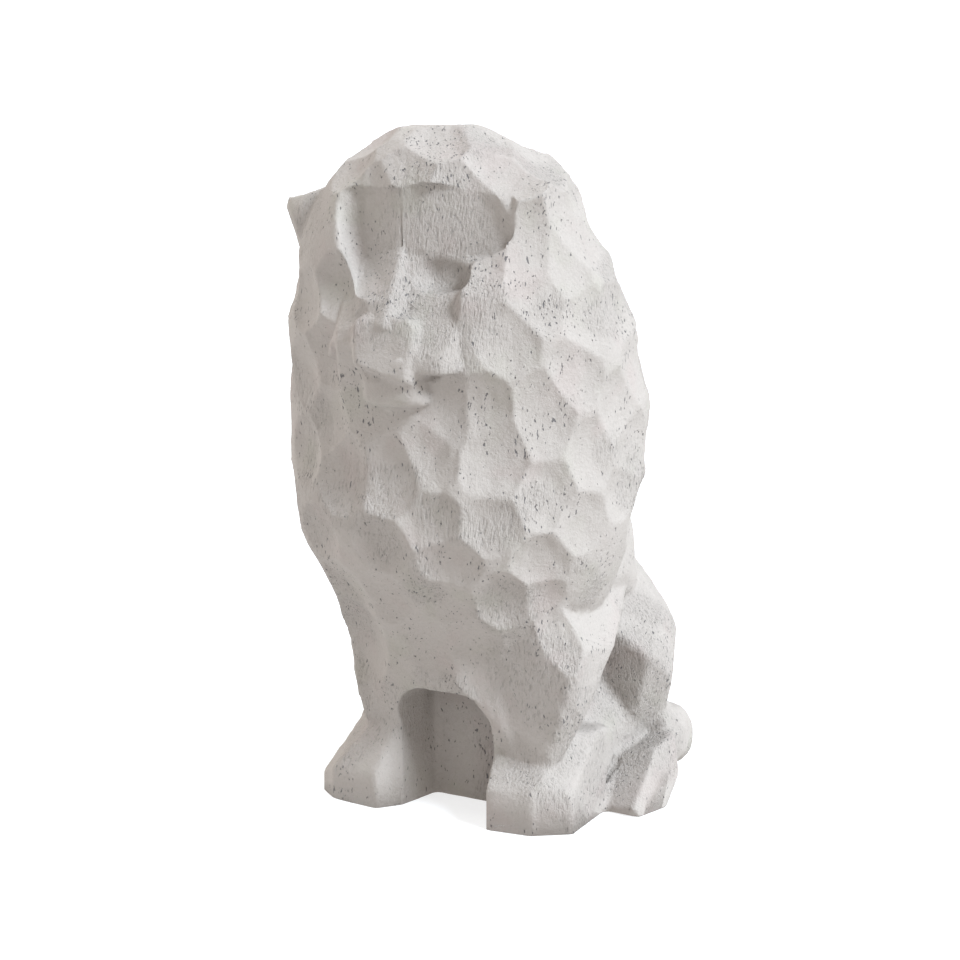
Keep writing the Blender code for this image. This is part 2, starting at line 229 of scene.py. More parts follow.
def mane_axis(z):
    """Gives the mane's centre line, which leans forward to the crown and at the beard."""
    beard = BEARD_FORWARD * np.exp(-((z - BEARD_LEVEL) / BEARD_REACH) ** 2)
    return MANE_Y - MANE_LEAN * np.maximum(z - LEAN_FROM, 0.0) - beard


def mane_mass():
    """The great egg of the mane, with a small flat on the crown."""
    halves = (MANE_HALVES[0], MANE_HALVES[1], (MANE_RISE, MANE_DROP))
    crown = ((0.0, 0.0, 1.0), (0.0, 0.0, CROWN))
    points, faces = hewn((0.0, MANE_Y, MANE_LEVEL), halves, MANE_POWER, [crown])
    points[:, 1] += mane_axis(points[:, 2]) - MANE_Y
    return points, faces


def head_masses():
    """The two ears, low mounds on the sides of the head, and the fuller crown."""
    left = hewn((42.0, -52.0, 211.0), (8.0, 13.5, 14.0), 2.3)
    right = hewn((-46.5, -44.0, 208.0), (14.5, 14.0, 14.0), 2.3)
    crown = hewn((12.0, -35.5, 194.0), (36.5, 36.0, 42.5), 2.2)
    return [left, right, crown]


def face_masses():
    """The nose wedge, muzzle, chin and jowls, laid on the carved head."""
    tip = (1.8, -84.5, 176.0)
    nose = hewn(
        (-7.0, -60.0, 188.0), (26.0, 32.0, 26.0), 6.0,
        [((-0.30, -0.92, 0.488), tip),
         ((0.849, -0.529, 0.327), tip),
         ((-0.78, -0.55, 0.297), (-20.7, -67.1, 194.9)),
         ((0.0, -0.73, -0.68), tip)])
    muzzle = hewn(
        (0.0, -68.0, 167.0), (12.5, 17.0, 12.0), 6.0,
        [((0.05, -0.985, 0.14), (-1.0, -83.8, 168.0)),
         ((-0.25, -0.20, -0.95), (-1.0, -82.0, 159.5))])
    chin = hewn(
        (1.0, -66.0, 155.0), (12.5, 15.5, 6.5), 5.0,
        [((0.10, -0.99, 0.05), (0.0, -82.0, 155.0))])
    jowl_right = hewn(
        (-12.0, -60.0, 150.0), (18.0, 26.0, 22.0), 6.0,
        [((-0.14, -0.94, -0.30), (-8.2, -82.4, 169.4)),
         ((-0.864, -0.499, -0.068), (-19.7, -81.0, 171.8)),
         ((0.70, -0.70, -0.10), (0.0, -80.0, 165.0))])
    jowl_left = hewn(
        (13.0, -62.0, 168.0), (13.0, 24.0, (16.0, 8.0)), 6.0,
        [((0.10, -0.91, 0.40), (4.5, -75.0, 184.0)),
         ((0.15, -0.97, 0.0), (8.0, -83.0, 165.0)),
         ((0.75, -0.65, 0.0), (22.0, -80.0, 165.0))])
    return [nose, muzzle, chin, jowl_right, jowl_left]


def face_hollows():
    """The flat cuts of the forehead, the eye and the cheek, as cutters."""
    ridge = (0.5, -70.5, 208.0)
    brow_left = hewn(
        (18.0, -90.0, 209.0), (32.0, 34.0, 12.5), 8.0,
        [((-0.225, 0.974, 0.0), ridge),
         ((0.133, 0.975, 0.178), (31.0, -63.5, 210.0)),
         ((-1.0, 0.0, 0.0), ridge),
         ((0.842, 0.0, -0.539), (42.4, -65.0, 210.0)),
         ((0.447, 0.0, -0.894), (26.0, -65.0, 195.5))])
    brow_right = hewn(
        (-10.0, -95.0, 202.5), (18.0, 40.0, 18.5), 5.0,
        [((0.17, 0.985, 0.0), ridge),
         ((-0.60, 0.80, 0.0), (-20.0, -67.2, 205.0)),
         ((-0.95, 0.0, -0.30), (-18.5, -70.0, 195.0)),
         ((1.0, 0.0, 0.0), ridge)])
    cheek_left = hewn(
        (13.5, -95.0, 180.0), (11.8, 30.0, 22.0), 6.0,
        [((-0.10, 0.91, -0.40), (4.5, -75.0, 184.0)),
         ((0.45, 0.88, -0.10), (25.5, -75.0, 184.0))])
    eye = hewn((16.0, -76.0, 192.5), (11.5, 10.5, 6.5), 2.6)
    mouth_corner = hewn((15.5, -83.0, 160.0), (5.0, 9.0, 5.5), 2.2)
    return [brow_left, brow_right, cheek_left, eye, mouth_corner]


def body_masses():
    """The chest, trunk and rump that carry the mane."""
    chest = hewn(
        (0.0, -24.0, 72.0), (42.0, 34.0, 48.0), 4.0,
        [((0.0, -0.955, -0.295), (0.0, -55.5, 66.0)),
         ((0.45, -0.89, -0.05), (14.0, -53.0, 62.0)),
         ((-0.45, -0.89, -0.05), (-18.0, -53.0, 62.0))])
    trunk = hewn(
        (0.0, -6.0, 60.0), (50.0, 44.0, 112.0), 2.3,
        [((0.0, -1.0, 0.0), (0.0, -28.0, 0.0)),
         ((0.93, 0.0, -0.37), (47.0, -2.0, 77.0)),
         ((-0.93, 0.0, -0.37), (-47.0, -2.0, 77.0))])
    rump = hewn((0.0, 24.0, 36.0), (45.0, 30.0, 54.0), 2.5)
    return [chest, trunk, rump]


def gap_mass(side):
    """The arched hollow between the forelegs, whose half width is the side."""
    return hewn(
        (2.0, -42.0, 0.0), (side + 7.0, 42.0, 46.0), 4.0,
        [((0.0, 1.0, 0.0), (0.0, -25.0, 0.0)),
         ((-0.985, 0.17, 0.0), (1.0 - side, -26.0, 0.0)),
         ((0.97, 0.23, 0.0), (side - 1.0, -26.0, 0.0)),
         ((0.75, 0.0, 0.66), (side + 2.5, -45.0, 39.0))])


def left_foreleg():
    """The left shoulder and foreleg in flat cuts, and its paw."""
    leg = hewn(
        (30.0, -24.0, 55.0), (36.0, 34.0, 74.0), 4.0,
        [((0.0, -0.986, -0.169), (35.0, -50.0, 66.0)),
         ((-0.42, -0.88, -0.188), (25.2, -43.5, 28.0)),
         ((0.80, -0.56, -0.392), (44.0, -44.5, 34.0)),
         ((0.98, -0.05, -0.15), (50.5, -30.0, 32.0)),
         ((0.88, 0.0, 0.47), (56.0, -25.0, 64.0)),
         ((0.78, 0.50, -0.45), (54.0, -20.0, 63.0))])
    paw = hewn(
        (33.0, -28.0, 8.0), (22.0, 26.0, 24.0), 4.5,
        [((0.12, -0.99, 0.0), (28.8, -50.8, 5.0)),
         ((-0.60, -0.80, 0.0), (19.5, -50.0, 5.0)),
         ((0.62, -0.78, 0.0), (41.5, -46.5, 5.0)),
         ((0.99, 0.05, 0.0), (48.5, -30.0, 5.0)),
         ((0.05, -0.74, 0.67), (30.0, -50.8, 14.5)),
         ((0.66, -0.50, 0.56), (44.5, -46.0, 14.0))])
    return [leg, paw]


def right_foreleg():
    """The slimmer right shoulder and foreleg, its paw turned outwards."""
    leg = hewn(
        (-28.0, -24.0, 55.0), (32.0, 34.0, 74.0), 4.0,
        [((0.0, -0.986, -0.169), (-35.0, -50.0, 66.0)),
         ((-0.75, -0.60, -0.28), (-36.5, -45.0, 33.0)),
         ((-0.97, -0.10, -0.20), (-42.5, -30.0, 67.0)),
         ((-0.80, 0.58, -0.16), (-41.5, -22.0, 60.0))])
    paw = hewn(
        (-34.0, -28.0, 8.0), (26.0, 26.0, 22.0), 4.0,
        [((-0.10, -0.99, 0.0), (-32.0, -51.0, 5.0)),
         ((0.80, -0.60, 0.0), (-20.3, -46.6, 5.0)),
         ((-0.62, -0.78, 0.0), (-48.0, -46.5, 5.0)),
         ((-0.98, 0.20, 0.0), (-52.5, -40.0, 5.0)),
         ((-0.10, -0.90, 0.42), (-32.0, -51.0, 13.0)),
         ((-0.66, -0.40, 0.64), (-47.2, -43.0, 12.3))])
    return [leg, paw]


def hind_leg():
    """A left haunch, shin and hind foot in flat cuts."""
    haunch = hewn(
        (33.0, 22.0, 47.0), (33.0, 34.0, 38.0), 2.6,
        [((0.10, -0.96, -0.26), (50.0, -1.5, 56.0)),
         ((0.61, -0.51, 0.60), (46.8, -3.8, 63.1)),
         ((0.99, 0.02, 0.14), (60.0, -2.8, 52.0)),
         ((0.858, 0.496, -0.13), (58.0, 18.5, 40.0)),
         ((0.724, 0.418, 0.548), (50.0, 25.0, 70.0)),
         ((0.50, -0.10, 0.86), (46.0, 6.0, 80.5)),
         ((0.80, -0.46, -0.37), (58.0, -0.3, 54.7))])
    shin = hewn(
        (30.0, 0.0, 12.0), (26.0, 26.0, 48.0), 3.0,
        [((0.81, -0.43, 0.39), (38.1, 0.2, 45.3)),
         ((0.93, -0.36, 0.0), (42.0, -12.0, 12.0))])
    foot = hewn(
        (52.0, 4.0, 7.0), (14.0, 26.0, 18.0), 4.0,
        [((-0.10, -0.78, 0.62), (61.1, -9.5, 10.5)),
         ((0.0, -0.80, -0.60), (58.0, -16.0, 3.5)),
         ((0.97, -0.20, 0.12), (61.5, -10.0, 6.0)),
         ((0.866, 0.50, 0.10), (62.5, 16.5, 8.0)),
         ((0.78, 0.45, -0.44), (62.0, 8.0, 0.5)),
         ((-0.25, -0.20, 0.95), (56.0, -2.0, 20.0))])
    return [haunch, shin, foot]


def groove_masses():
    """The furrow between the shin and the left hind foot, as cutters."""
    path = np.array([(43.0, -17.0, -1.0), (45.5, -11.0, 10.0), (48.5, -2.5, 18.0)])
    masses = []
    for start, end in zip(path[:-1], path[1:]):
        for share in (0.0, 0.2, 0.4, 0.6, 0.8):
            masses.append(hewn(start * (1.0 - share) + end * share, (2.0, 2.0, 2.0), 2.0))
    return masses


def tail_masses():
    """The tail, a thick cord of beads that lies round the left foot."""
    path = ((0.0, 52.0, 12.0), (18.0, 54.0, 11.0), (35.0, 50.0, 12.0), (46.0, 41.0, 13.5),
            (53.0, 31.0, 17.5))
    masses = []
    for start, end in zip(path[:-1], path[1:]):
        for share in (0.0, 0.34, 0.67):
            spot = np.array(start) * (1.0 - share) + np.array(end) * share
            masses.append(hewn(spot, (8.5, 8.5, 10.5), 2.3))
    masses.append(hewn(
        (54.0, 22.5, 20.5), (8.5, 9.5, 11.0), 2.8,
        [((0.85, -0.30, 0.45), (61.0, 21.0, 26.0)),
         ((0.50, -0.70, -0.50), (60.0, 12.0, 19.0))]))
    return masses


# Gouge strokes on the mane: a height, then bearings, in rows from the crown
MANE_ROWS = (
    (235.0, (30, 76, 125, 180, 235, 300)),
    (227.0, (3, 61, 93, 130, 165, 200, 238, 275, 314)),
    (223.0, (40, 341)),
    (211.0, (78, 108, 140, 172, 205, 238, 268)),
    (200.0, (62, 92, 122, 155, 187, 220, 252, 285)),
    (194.0, (45, 72)),
    (186.0, (60, 107, 137, 170, 203, 236, 268, 294)),
    (182.0, (313,)),
    (178.0, (75, 90)),
    (172.0, (47, 122, 153, 185, 217, 250, 282)),
    (161.0, (67, 93, 107, 138, 169, 200, 232, 264, 292)),
    (157.0, (314,)),
    (148.0, (22, 36, 55, 82, 122, 152, 182, 213, 245, 277)),
    (142.0, (326,)),
    (134.0, (39, 16, 71, 88, 105, 137, 167, 197, 228, 260, 288)),
    (130.0, (313,)),
    (124.0, (335, 359)),
    (121.0, (57, 86, 121, 152, 183, 214, 245, 276)),
    (111.0, (40, 18, 71, 104, 138, 168, 199, 230, 262, 292)),
    (102.0, (317, 353)),
    (98.0, (59, 25)),
    (84.0, (46, 290)),
    (81.0, (320, 347, 21)),
    (80.0, (62,)),
    (67.0, (3, 30)),
    (64.0, (305,)),
)

# Larger strokes beside the right cheek: a bearing and height, the tool's
# radius and its depth
FACE_STROKES = (
    (-30.0, 186.0, 20.0, 4.5),
    (-33.0, 163.0, 34.0, 3.5),
)


def as_object(name, points, faces):
    """Makes one mesh object from points in 240ths of the height."""
    mesh = bpy.data.meshes.new(name)
    mesh.from_pydata((np.asarray(points) * U).tolist(), [], faces)
    mesh.update()
    made = bpy.data.objects.new(name, mesh)
    bpy.context.scene.collection.objects.link(made)
    return made


def settled(made):
    """Puts an object's modifiers into its mesh."""
    graph = bpy.context.evaluated_depsgraph_get()
    mesh = bpy.data.meshes.new_from_object(made.evaluated_get(graph))
    made.modifiers.clear()
    made.data = mesh
    return made


def evened(body, grain):
    """Lays an even skin of quads over a body."""
    remesh = body.modifiers.new("even", "REMESH")
    remesh.mode = "VOXEL"
    remesh.voxel_size = grain
    return settled(body)


def fused(name, masses, grain):
    """Fuses overlapping masses into one skin of even grain."""
    points = []
    faces = []
    for mass_points, mass_faces in masses:
        start = len(points)
        points.extend(mass_points.tolist())
        faces.extend([[index + start for index in face] for face in mass_faces])
    return evened(as_object(name, points, faces), grain)


def combined(body, other, operation):
    """Joins another object to the body, or cuts it away."""
    boolean = body.modifiers.new("combine", "BOOLEAN")
    boolean.operation = operation
    boolean.object = other
    settled(body)
    bpy.data.objects.remove(other)
    return body


def skin_arrays(body):
    """Gives the skin's points, in 240ths of the height, and its normals."""
    mesh = body.data
    points = np.empty(len(mesh.vertices) * 3)
    normals = np.empty(len(mesh.vertices) * 3)
    mesh.vertices.foreach_get("co", points)
    mesh.vertices.foreach_get("normal", normals)
    return points.reshape(-1, 3) / U, normals.reshape(-1, 3)


def set_points(body, points):
    """Puts points, in 240ths of the height, back into the skin."""
    body.data.vertices.foreach_set("co", (points * U).ravel())
    body.data.update()


def skin_spot(tree, points, normals, bearing, z):
    """Finds where a level ray towards the mane's axis meets the skin.

    The bearing is in degrees from straight ahead towards the lion's left.
    Returns the point, and the mean outward direction of the skin round it.
    """
    turn = math.radians(bearing)
    outward = np.array([math.sin(turn), -math.cos(turn), 0.0])
    axis = np.array([0.0, mane_axis(z), z])
    start = axis + RAY_START * outward
    spot = np.array(tree.ray_cast(start.tolist(), (-outward).tolist())[0])
    near = ((points - spot) ** 2).sum(axis=1) < SPOT_REACH ** 2
    return spot, unit(normals[near].mean(axis=0))


# Each stroke's radius and depth swing by these shares of themselves, as
# waves over the stroke's row and its place in the row
RADIUS_SWING = 0.12
RADIUS_WAVE = (2.4, 1.7)
DEPTH_SWING = 0.10
DEPTH_WAVE = (3.1, 2.3)


def strokes(body, gouge_radius, gouge_depth):
    """Lists every ball that bites the block: centre, radius and way out."""
    points, normals = skin_arrays(body)
    faces = [list(face.vertices) for face in body.data.polygons]
    tree = BVHTree.FromPolygons(points.tolist(), faces)
    marks = []
    for row, (z, bearings) in enumerate(MANE_ROWS):
        for column, bearing in enumerate(bearings):
            swell = RADIUS_SWING * math.sin(RADIUS_WAVE[0] * row + RADIUS_WAVE[1] * column)
            sink = DEPTH_SWING * math.cos(DEPTH_WAVE[0] * row + DEPTH_WAVE[1] * column)
            marks.append((bearing, z, gouge_radius / U * (1.0 + swell), gouge_depth / U * (1.0 + sink)))
    balls = []
    for bearing, z, radius, depth in marks + list(FACE_STROKES):
        spot, outward = skin_spot(tree, points, normals, bearing, z)
        balls.append((spot + outward * (radius - depth), radius, outward))
    return balls


def carved(body, gouge_radius, gouge_depth):
    """Presses every stroke into the skin.

    Formula: a skin point inside a stroke's ball moves straight back along
    the stroke until it lies on the ball, by q.n + sqrt((q.n)^2 + r^2 - q.q),
    with q from the ball's centre to the point and n the stroke's way out.
    Where two strokes meet, their meeting line is left as a ridge.
    """
    points = skin_arrays(body)[0]
    for centre, radius, outward in strokes(body, gouge_radius, gouge_depth):
        away = points - centre
        along = away @ outward
        inside = radius ** 2 - (away ** 2).sum(axis=1)
        bite = np.where(inside > 0.0, along + np.sqrt(along ** 2 + np.maximum(inside, 0.0)), 0.0)
        points -= outward * bite[:, None]
    set_points(body, points)
    return body


# The hash that gives a lattice corner its number
HASH_AXES = (73856093, 19349663, 83492791)
HASH_SEED = 2654435761
HASH_MIX = 1274126177
HASH_TOP = 0xFFFF


def lattice_noise(points, size, seed):
    """Gives smooth noise from -1 to 1 at each point.

    Formula: every corner of a cubic lattice of the given size has a number
    from a hash of its place and the seed, and a point takes the mix of its
    eight corners with the weights 3t^2 - 2t^3 along each axis. The size is
    three lengths, which can draw the noise out along an axis.
    """
    scaled = points / np.array(size)
    corner = np.floor(scaled).astype(np.int64)
    share = scaled - corner
    share = share * share * (3.0 - 2.0 * share)
    total = np.zeros(len(points))
    for step in np.ndindex(2, 2, 2):
        step = np.array(step)
        place = (corner + step).astype(np.uint64)
        mixed = np.bitwise_xor.reduce(place * np.array(HASH_AXES, dtype=np.uint64), axis=1)
        mixed = mixed ^ np.uint64(seed * HASH_SEED)
        mixed = (mixed ^ (mixed >> np.uint64(13))) * np.uint64(HASH_MIX)
        mixed = (mixed ^ (mixed >> np.uint64(16))) & np.uint64(HASH_TOP)
        weight = np.where(step == 1, share, 1.0 - share).prod(axis=1)
        total += weight * (mixed.astype(float) / (0.5 * HASH_TOP) - 1.0)
    return total


# The noises of the stone's dressing: a size, its share of the height and
# its seed. The last two are drawn out upwards, as rasp marks are.
DRESSING_NOISES = (
    ((11.0, 11.0, 11.0), 1.1, 3),
    ((3.6, 3.6, 7.0), 0.9, 5),
    ((2.2, 2.2, 5.0), 0.8, 8),
)


def dressed(body, height):
    """Gives the carved skin the uneven dressing of hand tools.

    Formula: each point moves along its normal by the height times the sum
    of the dressing's noises, each with its share. The underside is sawn
    flat after this.
    """
    points, normals = skin_arrays(body)
    rise = sum(share * lattice_noise(points, size, seed) for size, share, seed in DRESSING_NOISES)
    lift = (height / U) * rise
    set_points(body, points + normals * lift[:, None])
    return body


def thinned(body, wanted):
    """Takes the skin down to the number of triangles wanted."""
    triangles = sum(len(face.vertices) - 2 for face in body.data.polygons)
    thin = body.modifiers.new("thin", "DECIMATE")
    thin.ratio = min(1.0, wanted / triangles)
    thin.use_collapse_triangulate = True
    return settled(body)


def cut_flat(body):
    """Saws the underside off at Z = 0 and closes it."""
    skin = bmesh.new()
    skin.from_mesh(body.data)
    everything = skin.verts[:] + skin.edges[:] + skin.faces[:]
    cut = bmesh.ops.bisect_plane(
        skin, geom=everything, dist=TINY, plane_co=(0.0, 0.0, 0.0),
        plane_no=(0.0, 0.0, 1.0), clear_inner=True)
    rim = [item for item in cut["geom_cut"] if isinstance(item, bmesh.types.BMEdge)]
    bmesh.ops.triangle_fill(skin, edges=rim, use_dissolve=False, normal=(0.0, 0.0, -1.0))
    bmesh.ops.recalc_face_normals(skin, faces=skin.faces[:])
    skin.to_mesh(body.data)
    skin.free()
    return body


class Signal:
    """A shader socket that takes part in Python expressions."""

    def __init__(self, tree, socket):
        self.tree = tree
        self.socket = socket

    def node(self, kind, settings=None, **inputs):
        """Adds a node, sets it up, and gives it its values and links.

        An input's key is its name with spaces as underscores, or the letter
        i and its number.
        """
        made = self.tree.nodes.new(kind)
        for key, value in (settings or {}).items():
            setattr(made, key, value)
        for key, value in inputs.items():
            numbered = key[0] == "i" and key[1:].isdigit()
            target = made.inputs[int(key[1:])] if numbered else made.inputs[key.replace("_", " ")]
            if isinstance(value, Signal):
                self.tree.links.new(value.socket, target)
            else:
                target.default_value = value
        return made

    def out(self, made, name=0):
        """Wraps one of a node's outputs."""
        return Signal(self.tree, made.outputs[name])

    def math(self, operation, *values):
        """Adds a Math node on numbers and signals."""
        inputs = {f"i{place}": value for place, value in enumerate(values)}
        return self.out(self.node("ShaderNodeMath", {"operation": operation}, **inputs))

    def __add__(self, other):
        return self.math("ADD", self, other)

    __radd__ = __add__

    def __mul__(self, other):
        return self.math("MULTIPLY", self, other)

    __rmul__ = __mul__

    def __sub__(self, other):
        return self.math("SUBTRACT", self, other)

    def __rsub__(self, other):
        return self.math("SUBTRACT", other, self)

    def step(self, low, high):
        """Goes smoothly from 0 at low to 1 at high."""
        made = self.node("ShaderNodeMapRange", {"interpolation_type": "SMOOTHSTEP"},
                         Value=self, From_Min=low, From_Max=high, To_Min=0.0, To_Max=1.0)
        return self.out(made)

    def at_most(self, other):
        """The lower of this and the other."""
        return self.math("MINIMUM", self, other)

    def at_least(self, other):
        """The higher of this and the other."""
        return self.math("MAXIMUM", self, other)

    def scaled(self, factor):
        """Multiplies this vector by one number."""
        made = self.node("ShaderNodeVectorMath", {"operation": "MULTIPLY"}, i0=self, i1=(factor,) * 3)
        return self.out(made)

    def distance(self, spot):
        """How far this position is from a spot."""
        made = self.node("ShaderNodeVectorMath", {"operation": "DISTANCE"}, i0=self, i1=spot)
        return self.out(made, "Value")

    def lifted(self, floor):
        """Raises 0 to a floor and leaves 1 at 1."""
        return floor + (1.0 - floor) * self

    def grey(self):
        """Makes a colour of this signal in all three channels."""
        return self.out(self.node("ShaderNodeCombineColor", Red=self, Green=self, Blue=self))

    def shaded(self, other):
        """Multiplies this colour by another."""
        made = self.node("ShaderNodeMix", {"data_type": "RGBA", "blend_type": "MULTIPLY"},
                         i0=1.0, i6=self, i7=other)
        return self.out(made, 2)

    def noise(self, scale, detail=2.0, roughness=0.5):
        """Noise from 0 to 1 over this vector."""
        made = self.node("ShaderNodeTexNoise", Vector=self, Scale=scale, Detail=detail,
                         Roughness=roughness)
        return self.out(made, "Fac")

    def mixed(self, low, high):
        """Mixes two colours by this signal."""
        made = self.node("ShaderNodeMix", {"data_type": "RGBA"}, i0=self, i6=low, i7=high)
        return self.out(made, 2)


# How the stone's patterns are drawn out, in thousandths of a metre, and
# their turn in degrees about the way the lion faces
SMALL_PITS = ((0.8, 0.8, 2.2), 9.0)
LARGE_PITS = ((1.3, 1.3, 3.2), -14.0)
TOOL_GRAIN = ((0.8, 0.8, 3.2), 7.0)

# How often the wide patterns and the speckle come in a thousandth of a metre
CROWD_SCALE = 0.06
ROUGH_SCALE = 0.035
CLOUD_SCALE = 0.05
SPECKLE_SCALE = 0.9

# The two levels of noise between which each pattern sets in, the second
# being where it is full
PIT_LEVELS = (0.708, 0.745)
CROWD_LEVELS = (0.50, 0.64)
ROUGH_LEVELS = (0.50, 0.62)
FURROW_LEVELS = (0.47, 0.34)
SPECKLE_LEVELS = (0.25, 0.75)
ROSY_LEVELS = (0.52, 0.72)
GREEN_LEVELS = (0.46, 0.28)

# How far a crowded stretch of stone lowers the levels of its pits, and the
# share of a rough spot's reach that is rough all through
CROWDING = 0.06
ROUGH_HEART = 0.6

# How light the plain stone is, how much the speckle lightens it, how much painted
# shade darkens the grain's furrows, and how much of the painted pit shade shows
PLAIN_SHADE = 0.94
SPECKLE_SHADE = 0.08
FURROW_PAINTED_SHADE = 0.22
PIT_PAINTED_SHADE = 0.85

# How much of the grain is left where the stone is rubbed smooth, as painted furrow
# shade and in relief, and the speckle's relief as a share of the grain's
SMOOTH_SHADE = 0.15
SMOOTH_RELIEF = 0.12
SPECKLE_RELIEF = 0.45

# Where the tools left the face, a leg and the haunch rough: a place and its
# reach, in thousandths of a metre
ROUGH_SPOTS = (
    ((12.0, -72.0, 208.0), 26.0),
    ((14.0, -76.0, 184.0), 22.0),
    ((-4.0, -84.0, 180.0), 14.0),
    ((38.0, -50.0, 56.0), 24.0),
    ((32.0, -54.0, 84.0), 16.0),
    ((50.0, 0.0, 46.0), 24.0),
)


def turned_and_drawn(place, shape, turn):
    """Turns a position about the way the lion faces, then scales its axes."""
    made = place.node("ShaderNodeMapping", {"vector_type": "TEXTURE"}, Vector=place,
                      Rotation=(0.0, math.radians(turn), 0.0), Scale=shape)
    return place.out(made)


def pit_mask(place, crowd, shape, turn):
    """Scattered ragged pits, 1 inside and 0 outside.

    The pits are the few high spots of a noise that the shape draws out.
    The crowd, up to 1, lowers the levels that make a pit.
    """
    noise = turned_and_drawn(place, shape, turn).noise(1.0, 1.5, 0.6)
    return (noise + CROWDING * crowd).step(*PIT_LEVELS)


def stone_pits(place):
    """Small pits and fewer large ones, closer together in some stretches."""
    crowd = place.noise(CROWD_SCALE).step(*CROWD_LEVELS)
    small = pit_mask(place, crowd, *SMALL_PITS)
    return small.at_least(pit_mask(place, 0.8 * crowd - 0.3, *LARGE_PITS))


def tool_roughness(place):
    """1 where the tools left the stone rough, 0 where it was rubbed smooth."""
    rough = place.noise(ROUGH_SCALE, 1.0).step(*ROUGH_LEVELS)
    for spot, reach in ROUGH_SPOTS:
        rough = rough.at_least(place.distance(spot).step(reach, ROUGH_HEART * reach))
    return rough


def stone_colour(place, settings, shade, pits):
    """The stone's faint rosy and grey-green clouds, its tone with the painted shade of the grain's
    furrows, and painted shade in its pits.
    """
    clouds = place.noise(CLOUD_SCALE, 3.0)
    colour = clouds.step(*ROSY_LEVELS).mixed((*settings.stone, 1.0), (*settings.rosy, 1.0))
    colour = clouds.step(*GREEN_LEVELS).mixed(colour, (*settings.green, 1.0))
    # Painted shade: the pits are mixed towards the dark painted pit shade colour
    return (pits * PIT_PAINTED_SHADE).mixed(colour.shaded(shade.grey()), (*settings.painted_pit_shade, 1.0))


def limestone(settings):
    """Pale porous limestone: faint clouds, pits and drawn-out grain, with painted shade in the pits and in
    the grain's furrows.

    Its patterns are worked out in thousandths of a metre.
    """
    material = bpy.data.materials.new("limestone")
    material.use_nodes = True
    tree = material.node_tree
    shader = tree.nodes["Principled BSDF"]
    coordinates = tree.nodes.new("ShaderNodeTexCoord")
    place = Signal(tree, coordinates.outputs["Object"]).scaled(1000.0)

    pits = stone_pits(place)
    rough = tool_roughness(place)
    grain = turned_and_drawn(place, *TOOL_GRAIN).noise(1.0, 3.0, 0.65)
    speckle = place.noise(SPECKLE_SCALE, 4.0, 0.7)

    # Painted shade: the grain's furrows, the low parts of its relief, are darkened in colour
    furrow_painted_shade = grain.step(*FURROW_LEVELS) * rough.lifted(SMOOTH_SHADE)
    light = speckle.step(*SPECKLE_LEVELS) * SPECKLE_SHADE + PLAIN_SHADE
    shade = (light - FURROW_PAINTED_SHADE * furrow_painted_shade).at_most(1.0)
    colour = stone_colour(place, settings, shade, pits)
    tree.links.new(colour.socket, shader.inputs["Base Color"])

    relief = grain * rough.lifted(SMOOTH_RELIEF) * settings.grain_height
    relief = relief + speckle * (SPECKLE_RELIEF * settings.grain_height) - pits * settings.pit_depth
    bump = place.node("ShaderNodeBump", Strength=1.0, Distance=1.0, Height=relief)
    tree.links.new(bump.outputs["Normal"], shader.inputs["Normal"])
    shader.inputs["Roughness"].default_value = 0.93
    shader.inputs["Specular IOR Level"].default_value = 0.25
    return material


def lit_table(name, colour, roughness, glow):
    """One even matt colour that also glows a little, as a light table does."""
    material = bpy.data.materials.new(name)
    material.use_nodes = True
    shader = material.node_tree.nodes["Principled BSDF"]
    shader.inputs["Base Color"].default_value = (*colour, 1.0)
    shader.inputs["Roughness"].default_value = roughness
    shader.inputs["Specular IOR Level"].default_value = 0.0
    shader.inputs["Emission Color"].default_value = (*WHITE, 1.0)
    shader.inputs["Emission Strength"].default_value = glow
    return material


def carve_figure(figure):
    """Fuses the masses, cuts the hollows, carves the strokes and lays on the face."""
    masses = [mane_mass()] + head_masses() + body_masses() + tail_masses()
    masses += left_foreleg() + right_foreleg()
    masses += hind_leg() + [mirrored(*limb) for limb in hind_leg()]
    lion = fused("lion_stone", masses, figure.grain)
    hollows = [gap_mass(0.5 * figure.forepaw_gap / U)] + face_hollows() + groove_masses()
    evened(combined(lion, fused("hollows", hollows, figure.grain), "DIFFERENCE"), figure.grain)
    carved(lion, figure.gouge_radius, figure.gouge_depth)
    combined(lion, fused("face", face_masses(), figure.grain), "UNION")
    thinned(lion, figure.triangles)
    dressed(lion, figure.dressing)
    return cut_flat(lion)


# The studio floor: its reach each way, the radius of its bend, half its
# width as a share of the reach, and the gap that keeps it under the stone
FLOOR_REACH = 2.2
FLOOR_BEND = 0.9
FLOOR_SIDE = 1.6
FLOOR_GAP = 0.0002


def studio_floor():
    """A floor that sweeps up into a wall behind the lion.

    Formula: the profile runs level, then through a quarter of a circle,
    then straight up, and is carried along x.
    """
    arc = np.linspace(0.0, 0.5 * math.pi, 24)
    end = FLOOR_REACH + FLOOR_BEND
    along = np.concatenate([[-FLOOR_REACH], FLOOR_REACH + FLOOR_BEND * np.sin(arc), [end]])
    height = np.concatenate([[0.0], FLOOR_BEND * (1.0 - np.cos(arc)), [FLOOR_REACH]]) - FLOOR_GAP
    side = np.array([-FLOOR_SIDE, FLOOR_SIDE]) * FLOOR_REACH
    x, index = np.meshgrid(side, np.arange(len(along)))
    points = np.stack([x, along[index], height[index]], axis=-1).reshape(-1, 3)
    step = np.arange(len(along) - 1) * 2
    faces = np.stack([step, step + 1, step + 3, step + 2], axis=-1)
    mesh = bpy.data.meshes.new("studio_floor")
    mesh.from_pydata(points.tolist(), [], faces.tolist())
    mesh.shade_smooth()
    made = bpy.data.objects.new("studio_floor", mesh)
    bpy.context.scene.collection.objects.link(made)
    return made


